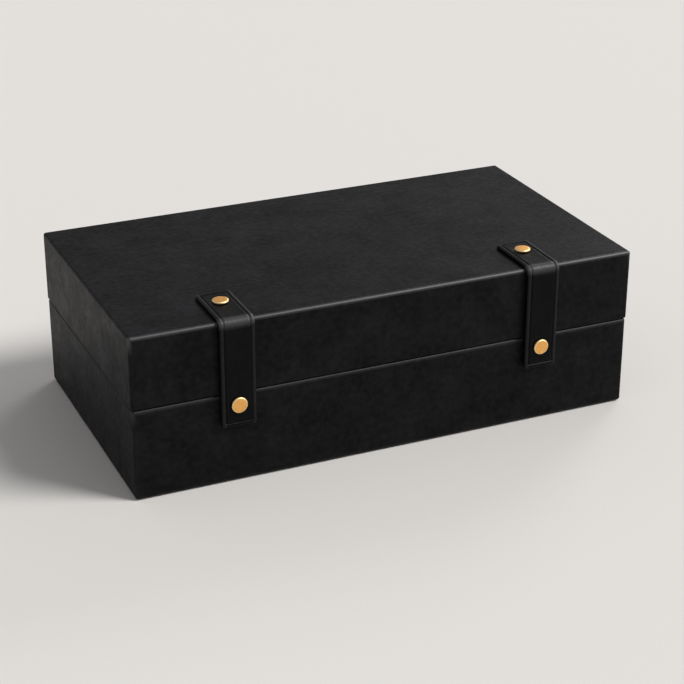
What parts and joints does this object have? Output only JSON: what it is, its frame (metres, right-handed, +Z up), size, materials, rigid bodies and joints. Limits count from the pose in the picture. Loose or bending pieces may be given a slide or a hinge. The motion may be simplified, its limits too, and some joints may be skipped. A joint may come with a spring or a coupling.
{
  "type": "stationery box",
  "caption": "Leather-covered board box with a hinged lid, suede lining and two riveted leather closing straps at the front.",
  "frame": {"origin": "centre of the closed box's underside, on the surface it stands on", "axes": "+X along the box's length, -Y towards the front with the straps, +Z up"},
  "size_m": [0.34, 0.1922, 0.1119],
  "materials": {
    "cover_leather": "black smooth calf grain, satin",
    "strap_leather": "black bridle leather, creased and burnished edges",
    "suede": "charcoal suede, matte nap",
    "underside": "black felt, matte",
    "greyboard": "raw pressed board",
    "brass": "satin brushed brass",
    "steel": "nickel plated"
  },
  "bodies": {
    "base": {"base_bottom_board": "greyboard", "base_front_board": "greyboard", "base_back_board": "greyboard", "base_left_board": "greyboard", "base_right_board": "greyboard", "base_cover": "cover_leather", "underside_panel": "underside", "base_floor_lining": "suede", "base_front_lining": "suede", "base_back_lining": "suede", "base_left_lining": "suede", "base_right_lining": "suede", "closure_magnets": "steel", "hinge_leather": "cover_leather", "hinge_gusset": "suede"},
    "lid": {"lid_top_board": "greyboard", "lid_front_board": "greyboard", "lid_back_board": "greyboard", "lid_left_board": "greyboard", "lid_right_board": "greyboard", "lid_cover": "cover_leather", "lid_top_lining": "suede", "lid_front_lining": "suede", "lid_back_lining": "suede", "lid_left_lining": "suede", "lid_right_lining": "suede", "left_strap_anchor": "strap_leather", "right_strap_anchor": "strap_leather", "rivet_caps": "brass", "rivet_posts": "brass"},
    "left_strap": {"left_strap_tail": "strap_leather", "left_button": "brass", "left_keeper": "steel"},
    "right_strap": {"right_strap_tail": "strap_leather", "right_button": "brass", "right_keeper": "steel"}
  },
  "joints": [
    {"name": "lid_hinge", "type": "hinge", "parent": "base", "child": "lid", "pos_m": [0, 0.0935, 0.0602], "axis": [-1, 0, 0], "range_deg": [0, 105], "deforming": ["hinge_leather", "hinge_gusset"]},
    {"name": "left_strap_flex", "type": "hinge", "parent": "lid", "child": "left_strap", "pos_m": [-0.1035, -0.09475, 0.10845], "axis": [-1, 0, 0], "range_deg": [0, 110]},
    {"name": "right_strap_flex", "type": "hinge", "parent": "lid", "child": "right_strap", "pos_m": [0.1035, -0.09475, 0.10845], "axis": [-1, 0, 0], "range_deg": [0, 110]}
  ]
}
